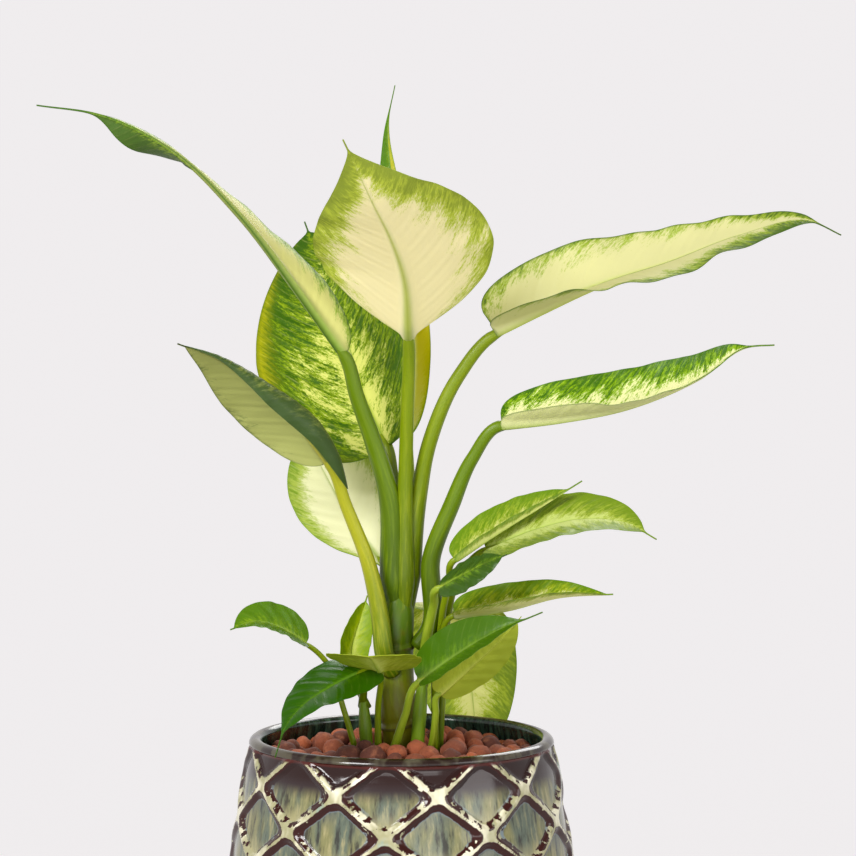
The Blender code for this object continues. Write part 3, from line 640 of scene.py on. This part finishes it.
def lay_out(made, rows, columns, rim):
    """Texture layout: the upper face in the top half of the square, the under face below it."""
    u, v = np.meshgrid(np.linspace(0.01, 0.99, rows), np.linspace(0.02, 0.48, columns), indexing="ij")
    lower = np.stack([u, v], axis=-1).reshape(-1, 2)
    places = np.concatenate((lower + (0, 0.5), lower))
    loops = np.empty(len(made.data.loops), np.int32)
    made.data.loops.foreach_get("vertex_index", loops)
    corners = places[loops]
    edge = corners[-4 * rim:].reshape(-1, 4, 2)
    outward = np.sign(edge[:, :2] - (0.5, 0.75)) * 0.006
    edge[:, 2] = edge[:, 1] + outward[:, 1]
    edge[:, 3] = edge[:, 0] + outward[:, 0]
    layer = made.data.uv_layers.new(name="OFBake")
    layer.data.foreach_set("uv", corners.astype(np.float32).ravel())


def stalk_look(name, low, high, mark):
    """Smooth ribbed green, streaked lengthwise, from the colour at the foot to the one above, with painted
    shade darkening the groove.
    """
    made = Look(name, 0.34, LEAF_SHINE)
    flow = made.flow()
    share, groove = made.read("share", "groove")
    streak = made.cloud(made.stretch(flow, (0.35, 5.5, 5.5)), 1.5, 4, 0.6)
    speck = made.cloud(made.stretch(flow, (2.5, 4, 4)), 3, 2, 0.7)
    height = made.plus(share, made.times(streak, 0.3))
    colour = made.coat(low, high, height, 0.1, 0.85)
    colour = made.coat(colour, mark, streak, 0.45, 0.7, 0.4)
    colour = made.coat(colour, "#4b5a10", speck, 0.58, 0.75, 0.3)
    # Painted shade: the groove turns a deeper green the deeper it is.
    colour = made.mix(made.times(groove, 0.45), colour, "#3f5a08")
    made.bump(streak, 0.5, 0.0005)
    return made.finish(colour, 0.12, "#d7e02a")


def sweep(name, route, radii, look, flat=1.0, groove=0.0, sides=24, bulge=None):
    """A stalk along a route in mm, grooved on the side that faces the plant's middle."""
    tangent = unit(np.gradient(route, axis=0))
    inward = np.stack([-route[:, 0], -route[:, 1] + 4, np.full(len(route), 25.0)], axis=1)
    inward = unit(inward - (inward * tangent).sum(axis=1, keepdims=True) * tangent)
    beside = np.cross(tangent, inward)
    angle = np.linspace(-math.pi, math.pi, sides, endpoint=False)
    dip = groove * np.exp(-(angle / 0.42)**2)
    size = radii[:, None] * (1 - dip[None, :])
    if bulge is not None:
        size = size + bulge
    rings = (route[:, None, :] + inward[:, None, :] * (size * np.cos(angle))[..., None]
             + beside[:, None, :] * (size * np.sin(angle) * flat)[..., None])
    count = len(route)
    vertices = np.concatenate((rings.reshape(-1, 3), route[:1], route[-1:]))
    faces = grid_faces(count, sides, closed=True)
    first, last = count * sides, count * sides + 1
    faces += [(first, (k + 1) % sides, k) for k in range(sides)]
    faces += [(last, first - sides + k, first - sides + (k + 1) % sides) for k in range(sides)]
    made = new_piece(name, vertices, faces, look)
    length = np.concatenate(([0], np.cumsum(np.linalg.norm(np.diff(route, axis=0), axis=1))))[:, None]
    round_it = radii[:, None] * np.cos(angle), radii[:, None] * np.sin(angle)
    flow = np.stack(np.broadcast_arrays(length, *round_it), axis=-1).reshape(-1, 3) / 10
    store(made, "flow", np.concatenate((flow, flow[:1], flow[-1:])))
    share = np.repeat(np.linspace(0, 1, count), sides)
    store(made, "share", np.concatenate((share, (0, 1))))
    # How deep the groove is at each point, which the material darkens as painted shade.
    deep = np.tile(dip / max(groove, 0.01), count)
    store(made, "groove", np.concatenate((deep, (0, 0))))
    return made


def stalk(name, parts, look):
    """The petiole, from inside the stem that it clasps to where it becomes the midrib."""
    share = np.linspace(0, 1, 60)
    points = list(parts["stalk"])
    foot = np.asarray(points[0], float)
    if name not in CLASPING:
        second = np.asarray((*points, parts["rib"][0])[1], float)
        points.insert(0, foot + unit(foot - second) * 8)
    elif foot[2] < CANE_TOP:
        points.insert(0, foot * (0.6, 0.6, 1) - (0, 0, 7))
    else:
        points[:1] = [foot * (0.4, 0.4, 1) - (0, 0, 42), foot * (0.7, 0.8, 1) - (0, 0, 18)]
    tip, forward, up = (values[0] for values in blade_frame(parts, np.array((0.0, 0.02, 0.04))))
    girth = parts["girth"][2]
    start = tip - forward * NECK * 0.6 - up * girth * 0.35
    end = tip + forward * (3 if parts.get("small") else 7) - up * girth * 0.55
    radii = along(CLASPING.get(name, parts["girth"]), share) * (1 - 0.55 * smooth_step(share, 0.93, 1))
    route = spline((*points, start, end), share)
    made = sweep(f"stalk_{name}", route, radii, look, groove=0.2, flat=1.05)
    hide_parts(f"petiole_{name}")


def cane():
    """The main stem, with swollen rings where leaves have dropped off."""
    share = np.linspace(0, 0.97, 130)
    route = spline(STEMS["cane"]["route"], share)
    radii = along(STEMS["cane"]["radius"], share) * (1 - 0.45 * smooth_step(share, 0.78, 0.97))
    turns = np.linspace(-math.pi, math.pi, 48, endpoint=False)
    bulge = np.zeros((len(route), len(turns)))
    for height, lean, phase in CANE_RINGS:
        level = route[:, 2][:, None] - height - lean * np.cos(turns + phase)[None, :]
        bulge += 0.75 * np.exp(-(level / 1.3)**2) - 0.35 * np.exp(-((level - 3) / 1.6)**2)
    bulge += 0.25 * ripple(route[:, 2][:, None] / 60 + turns[None, :] / 6.283, 5)
    made = sweep("cane_bark", route, radii, cane_look(), sides=48, bulge=bulge)
    store(made, "ring", np.concatenate((bulge.ravel(), (0, 0))))
    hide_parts("cane")


def cane_look():
    """Olive-brown at the foot, turning green above, with brown scars in the rings."""
    made = Look("cane_bark", 0.36, LEAF_SHINE)
    flow = made.flow()
    share, ring = made.read("share", "ring")
    streak = made.cloud(made.stretch(flow, (0.5, 3, 3)), 1.2, 4, 0.6)
    patch = made.cloud(made.stretch(flow, (1.2, 1.2, 1.2)), 1.6, 4, 0.6)
    height = made.plus(share, made.times(streak, 0.25))
    colour = made.coat("#747204", "#4c6800", height, 0.55, 0.9)
    colour = made.coat(colour, "#6a5208", patch, 0.5, 0.75, 0.35)
    colour = made.coat(colour, "#8f9a10", streak, 0.5, 0.7, 0.4)
    colour = made.coat(colour, "#4a3d10", ring, 0.3, 0.6, 0.7)
    made.bump(streak, 0.35, 0.0006)
    return made.finish(colour)


def shoot(name, look):
    share = np.linspace(0, 1, 40)
    route = spline(STEMS[name]["route"], share)
    radii = along(STEMS[name]["radius"], share) + 0.25 * ripple(share * 2, 7)
    radii *= 1.12 - 0.5 * smooth_step(share, 0.85, 1)
    made = sweep(f"{name}_stem", route, radii, look)
    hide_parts(name)


def lattice(angle, height):
    """Distance in mm from the nearest rib of the diamond lattice, with rounded corners where ribs
    cross, and the place up the diamond from -0.5 to 0.5."""
    u = (np.degrees(angle) - LATTICE_TURN) * LATTICE_CELLS / 360
    v = (height - LATTICE_TOP) / LATTICE_PITCH
    scale = 1 / math.hypot(1 / LATTICE_WIDTH, 1 / LATTICE_PITCH)
    rising, falling = (np.abs(line - np.round(line)) * scale for line in (u + v - 0.5, u - v - 0.5))
    soft = 5.5
    share = np.clip(0.5 + 0.5 * (falling - rising) / soft, 0, 1)
    near = falling * (1 - share) + rising * share - soft * share * (1 - share)
    first, second = np.round(u + v), np.round(u - v)
    return near, v - (first - second) / 2, first * 3.7 + second * 1.3


def turned(radius, height, spin):
    """Rings of points round the upright axis, from radii and heights."""
    return np.stack(np.broadcast_arrays(radius * np.sin(spin), -radius * np.cos(spin), height), axis=-1)


def pot_wall(spin):
    """The wall from the foot up to the lip, with what the lattice says of each point."""
    outside = np.asarray(POT_OUTSIDE, float)
    heights = np.concatenate((np.linspace(0, 12, 8)[:-1], np.linspace(12, WALL_TOP, 150)))
    radius = np.interp(heights, outside[:, 1], outside[:, 0])
    smooth = np.convolve(np.pad(radius, 6, mode="edge"), np.ones(13) / 13, mode="valid")
    radius = np.where((heights > 20) & (heights < 140), smooth, radius)
    near, cell, spot = lattice(spin[None, :], heights[:, None])
    inset = smooth_step(heights, 9, 17) * (1 - smooth_step(heights, 145, 149))
    crown = np.exp(-(near / 1.6)**2) * 0.3
    wall = radius[:, None] + inset[:, None] * (crown - RIB_RISE * smooth_step(near, 1.1, 3.9) + 0.4)
    return turned(wall, heights[:, None], spin), near, cell, spot


def pot():
    """The glazed pot: a turned wall with a lattice of raised ribs, a round lip and a hollow inside."""
    spin = np.linspace(-math.pi, math.pi, POT_SIDES, endpoint=False)
    wall, near, cell, spot = pot_wall(spin)
    lip_turn = np.linspace(0, math.pi, LIP_ROWS)
    lip = np.stack([76.7 + 3.6 * np.cos(lip_turn), 147.6 + 3.4 * np.sin(lip_turn)], axis=1)
    profile = np.concatenate((lip, POT_INSIDE))
    rows = np.concatenate((wall, turned(profile[:, :1], profile[:, 1:], spin)))
    vertices = np.concatenate((rows.reshape(-1, 3), ((0, 0, POT_FLOOR), (0, 0, 0))))
    total = len(vertices)
    middle, under = total - 2, total - 1
    last = middle - POT_SIDES
    faces = grid_faces(len(rows), POT_SIDES, closed=True)
    faces += [(last + k, last + (k + 1) % POT_SIDES, middle) for k in range(POT_SIDES)]
    faces += [((k + 1) % POT_SIDES, k, under) for k in range(POT_SIDES)]
    made = new_piece("pot_glazed", vertices, faces, pot_look())
    for key, values, rest in (("near", near, 9), ("cell", cell, 0), ("spot", spot, 0)):
        whole = np.full(total, float(rest))
        whole[:values.size] = values.ravel()
        store(made, key, whole)
    past_wall = np.arange(total) // POT_SIDES - len(wall)
    store(made, "lip", (past_wall >= 0) & (past_wall < LIP_ROWS - 2))
    store(made, "inside", past_wall >= LIP_ROWS - 4)
    store(made, "level", vertices[:, 2])
    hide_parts("pot")


def cell_glaze(made, cell, spot):
    """The streaked green that ran down inside each diamond, and the runs themselves."""
    shift = made.add("CombineXYZ", X=spot).outputs[0]
    moved = made.feed(made.add("VectorMath", {"operation": "ADD"}),
                      made.stretch(made.place(), (1, 1, 0.13)), shift)
    run = made.cloud(moved, 260, 4, 0.65)
    wide = made.cloud(moved, 70, 3, 0.6)
    colour = made.coat("#5c6658", "#7d7a50", wide, 0.36, 0.6)
    colour = made.coat(colour, "#a89e72", run, 0.5, 0.7, 0.7)
    colour = made.coat(colour, "#2e2a28", run, 0.5, 0.34, 0.85)
    upper = made.times(made.step(cell, 0, 0.4), made.step(wide, 0.3, 0.6))
    colour = made.mix(made.times(upper, 0.75), colour, "#46525a")
    return made.coat(colour, "#b3aa7c", cell, -0.12, -0.4, 0.6), run


def pot_look():
    """Reactive glaze: cream on the ribs, brown beads along their edges, streaked green in the cells."""
    made = Look("pot_glaze", shine=0.36)
    near, cell, spot, inside, lip, level = made.read("near", "cell", "spot", "inside", "lip", "level")
    place = made.place()
    bead = made.cloud(place, 230, 2, 0.5)
    pool = made.cloud(made.stretch(place, (1, 1, 0.6)), 70, 3, 0.6)
    interior, run = cell_glaze(made, cell, spot)
    band = made.plus(near, made.swing(bead, 1.7))
    outline = made.times(made.step(band, 4.7, 4), made.step(cell, -0.36, 0.1))
    colour = made.mix(made.times(outline, 0.75), interior, "#8495a0")
    cream = made.coat("#e2dcc0", "#9f9b74", pool, 0.36, 0.58)
    cream = made.coat(cream, "#7f9c98", pool, 0.58, 0.7, 0.7)
    colour = made.coat(colour, cream, band, 3.3, 2.5)
    ring = made.times(made.step(band, 0.5, 1), made.step(band, 4.5, 3.8))
    breaks = made.plus(bead, made.times(cell, 0.5))
    beads = made.times(ring, made.step(breaks, 0.35, 0.41))
    colour = made.mix(beads, colour, "#300a04")
    shade = made.times(made.step(level, 127, 136), made.step(band, 1.6, 2.6))
    colour = made.mix(shade, colour, made.coat("#352b2c", "#230b07", level, 131, 141))
    colour = made.coat(colour, "#4a150c", level, 145.2, 146.6)
    colour = made.coat(colour, "#4a1c12", level, 15, 9)
    colour = made.mix(lip, colour, made.coat("#22120c", "#4c4636", pool, 0.42, 0.6))
    colour = made.mix(inside, colour, made.coat("#16211a", "#3c5644", run, 0.4, 0.65))
    made.surface("Roughness", made.plus(made.times(bead, 0.12), 0.07))
    made.bump(made.plus(made.times(beads, 0.7), made.times(pool, 0.5)), 0.4, 0.0006)
    return made.finish(colour)


def pebble_places():
    """Centres and radii in mm of pebbles that have settled between the wall and the stems."""
    dice = np.random.default_rng(11)
    size = dice.uniform(4.4, 6.4, PEBBLES) * (1 + 0.22 * (dice.random(PEBBLES) > 0.9))
    angle = dice.uniform(0, 2 * math.pi, PEBBLES)
    reach = 72 * np.sqrt(dice.random(PEBBLES))
    place = np.stack([reach * np.cos(angle), reach * np.sin(angle),
                      dice.uniform(PEBBLE_FLOOR + 4, PEBBLE_TOP - 4, PEBBLES)], axis=1)
    stems = [(parts["route"][1][0], parts["route"][1][1], parts["radius"][0]) for parts in STEMS.values()]
    stems += [(*parts["stalk"][0][:2], parts["girth"][0]) for parts in LEAVES.values()
              if parts["stalk"][0][2] < 150]
    for _ in range(SETTLING_ROUNDS):
        apart = place[:, None] - place[None, :]
        distance = np.linalg.norm(apart, axis=2) + np.eye(PEBBLES) * 1e3
        overlap = np.clip((size[:, None] + size[None, :]) * 0.97 - distance, 0, None)
        place = place + 0.3 * (apart / distance[..., None] * overlap[..., None]).sum(axis=1)
        for x, y, girth in stems:
            out = place[:, :2] - (x, y)
            far = np.linalg.norm(out, axis=1)
            push = np.clip(girth + size * 0.9 - far, 0, None)
            place[:, :2] += out / far[:, None] * push[:, None]
        far = np.linalg.norm(place[:, :2], axis=1)
        limit = np.interp(place[:, 2], (102, 134, 147), (81, 76, 73.4)) - size - 0.4
        place[:, :2] *= np.minimum(1, limit / np.maximum(far, 1))[:, None]
        top = PEBBLE_TOP + PEBBLE_HEAP * (1 - np.minimum(far / 70, 1)**2) - size * 0.8
        place[:, 2] = np.clip(place[:, 2] - 0.2, PEBBLE_FLOOR + size * 0.4, top)
    return place, size


def pebbles():
    """Loose round pebbles of fired clay, each a little out of round."""
    ball = bmesh.new()
    bmesh.ops.create_icosphere(ball, subdivisions=3, radius=1)
    corners = np.array([vertex.co[:] for vertex in ball.verts])
    sides = np.array([[vertex.index for vertex in face.verts] for face in ball.faces])
    ball.free()
    places, sizes = pebble_places()
    dice = np.random.default_rng(23)
    vertices, faces, tones = [], [], []
    for number, (place, size) in enumerate(zip(places, sizes)):
        bumps = np.array([noise.noise(Vector(point) * 1.3 + Vector((number * 7.3, 0, 0)))
                          + 0.35 * noise.noise(Vector(point) * 4 + Vector((0, number * 5.1, 0)))
                          for point in corners])
        squash = 1 - dice.uniform(0, 0.16, 3)
        points = corners * squash * (size * (1 + 0.13 * bumps))[:, None]
        faces.append(sides + number * len(corners))
        vertices.append(points + place)
        tones.append(np.full(len(points), dice.random()))
    made = new_piece("pebbles", np.concatenate(vertices), np.concatenate(faces).tolist(), pebble_look())
    store(made, "tone", np.concatenate(tones))
    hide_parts("pebble_bed")


def pebble_look():
    """Matt fired clay, terracotta to dark brown, with pores and dust; the darkest brown in the pores is
    painted shade.
    """
    made = Look("clay_pebbles", 0.85)
    [tone] = made.read("tone")
    place = made.place()
    pores = made.cloud(place, 900, 3, 0.7)
    patch = made.cloud(place, 190, 4, 0.6)
    colour = made.coat("#582a1a", "#a0512c", tone, 0.1, 0.75)
    colour = made.coat(colour, "#84452c", tone, 0.8, 0.95, 0.6)
    colour = made.coat(colour, "#c47a52", patch, 0.5, 0.75, 0.4)
    colour = made.coat(colour, "#55281c", patch, 0.42, 0.25, 0.7)
    # Painted shade: the pits of the pores darken to the deepest brown, where the bump dips.
    colour = made.coat(colour, "#3f1c13", pores, 0.42, 0.3, 0.75)
    made.bump(made.plus(pores, patch), 0.7, 0.0006)
    return made.finish(colour)


def mix_look():
    """Dark damp potting mix with pale fibres."""
    made = Look("potting_mix", 0.95)
    place = made.place()
    grain = made.cloud(place, 500, 4, 0.7)
    fibre = made.cloud(made.stretch(place, (1, 0.2, 1)), 700, 2, 0.5)
    colour = made.coat("#1c120c", "#3b281b", grain, 0.35, 0.65)
    colour = made.coat(colour, "#7a6247", fibre, 0.62, 0.75, 0.6)
    made.bump(grain, 0.8, 0.001)
    return made.finish(colour)


def studio():
    """Pale floor that curves up into a wall all round, soft lights and a pale sky."""
    spin = np.linspace(0.5 * math.pi, 2.5 * math.pi, 96, endpoint=False)
    bend = np.linspace(0, math.pi / 2, 17)[1:]
    curve = np.stack([3.6 + np.sin(bend), 1 - np.cos(bend)], axis=1)
    profile = np.concatenate((((0.0001, 0), (1, 0), (3.6, 0)), curve, ((4.6, 4),)))
    points = turned(profile[:, :1], profile[:, 1:] - 0.0004, spin).reshape(-1, 3)
    faces = grid_faces(len(profile), len(spin), closed=True)
    paint = Look("studio_floor", 0.9, shine=0)
    paint.surface("Emission Color", (1, 0.975, 0.985, 1))
    paint.surface("Emission Strength", FLOOR_GLOW)
    mesh = new_mesh("studio_floor", points, faces, paint.finish((0.45, 0.44, 0.445, 1)))
    floor = new_object("studio_floor", mesh, SCENE.collection)
    floor.visible_diffuse = False
    floor.visible_shadow = False
    world = bpy.data.worlds.new("studio")
    SCENE.world = world
    world.use_nodes = True
    sky = world.node_tree.nodes["Background"]
    sky.inputs[0].default_value = (1, 0.985, 0.99, 1)
    sky.inputs[1].default_value = SKY
    for name, place, size, power in LIGHTS:
        lamp = bpy.data.lights.new(name, "AREA")
        lamp.shape = "RECTANGLE"
        lamp.size, lamp.size_y = size
        lamp.energy = power
        made = new_object(name, lamp, SCENE.collection)
        made.location = place
        made.rotation_euler = (LIGHT_AIM - Vector(place)).to_track_quat("-Z", "Y").to_euler()
        made.light_linking.receiver_collection = PLANT


def camera():
    data = bpy.data.cameras.new("camera")
    data.lens = CAMERA_LENS
    data.sensor_width = 36
    data.clip_end = 50
    made = new_object("camera", data, SCENE.collection)
    made.location = CAMERA_PLACE
    made.rotation_euler = (math.radians(CAMERA_PITCH), 0, 0)
    SCENE.camera = made


def build():
    pot()
    pebbles()
    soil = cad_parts["potting_mix"]
    soil.data.materials.clear()
    soil.data.materials.append(mix_look())
    cane()
    shoot_look = stalk_look("shoot", "#a3ad2c", "#6f8f14", "#8fa329")
    for name in ("shoot_left", "shoot_right"):
        shoot(name, shoot_look)
    looks = [stalk_look(f"petiole_{number}", *tones) for number, tones in enumerate(STALK_TONES)]
    for seed, (name, parts) in enumerate(LEAVES.items()):
        look = dict(LEAF_USUAL, seed=seed, **LOOKS[name])
        leaf(name, parts, look)
        stalk(name, parts, looks[STALKS.get(name, 0)])


SCENE.view_settings.view_transform = "Standard"
PLANT = bpy.data.collections.new("plant")
SCENE.collection.children.link(PLANT)
camera()
studio()
build()
